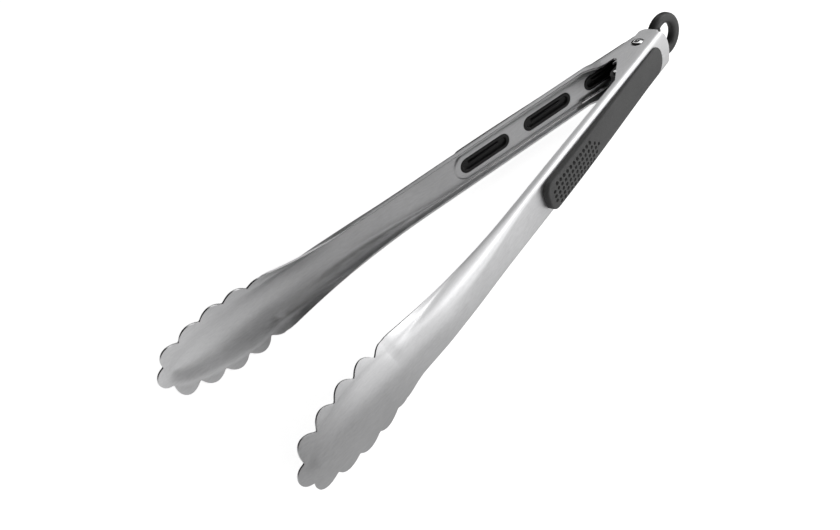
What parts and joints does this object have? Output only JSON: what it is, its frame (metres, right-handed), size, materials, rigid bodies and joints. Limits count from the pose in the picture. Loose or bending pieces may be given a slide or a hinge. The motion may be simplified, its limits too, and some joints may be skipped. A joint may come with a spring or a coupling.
{
  "type": "spring loaded kitchen tongs",
  "caption": "Long steel kitchen tongs held open by a spring at the pivot, with scalloped dished heads, soft grips and a sliding pull ring that locks them closed.",
  "frame": {"origin": "middle of the pivot rivet, on its axis", "axes": "+X from the pivot towards the tips, midway between the open arms; +Z along the rivet; +Y towards the outer arm"},
  "size_m": [0.3181, 0.1082, 0.0386],
  "materials": {
    "brushed_steel": "fine satin brushing along the arms",
    "core_plastic": "matt black",
    "grip_rubber": "soft matt, charcoal",
    "rivet_steel": "polished",
    "bush_plastic": "plain",
    "spring_wire": "bright drawn wire",
    "ring_plastic": "fine moulded texture, dark grey"
  },
  "bodies": {
    "inner_arm": {"inner_arm": "brushed_steel", "inner_grip_core": "core_plastic", "inner_grip_cover": "grip_rubber"},
    "outer_arm": {"outer_arm": "brushed_steel", "outer_grip_core": "core_plastic", "outer_grip_cover": "grip_rubber", "pivot_rivet": "rivet_steel", "spring_bush": "bush_plastic", "torsion_spring": "spring_wire"},
    "lock": {"lock_slider": "ring_plastic", "lock_pin": "rivet_steel"}
  },
  "joints": [
    {"name": "arm_pivot", "type": "hinge", "parent": "inner_arm", "child": "outer_arm", "pos_m": [0, 0, 0], "axis": [0, 0, 1], "range_deg": [-20.2, 0], "stiffness_Nm_per_rad": 0.6, "springref_deg": 34.38, "deforming": ["torsion_spring"]},
    {"name": "lock_slide", "type": "slide", "parent": "outer_arm", "child": "lock", "axis": [-0.9843, -0.1766, 0], "range_m": [0, 0.008]}
  ]
}
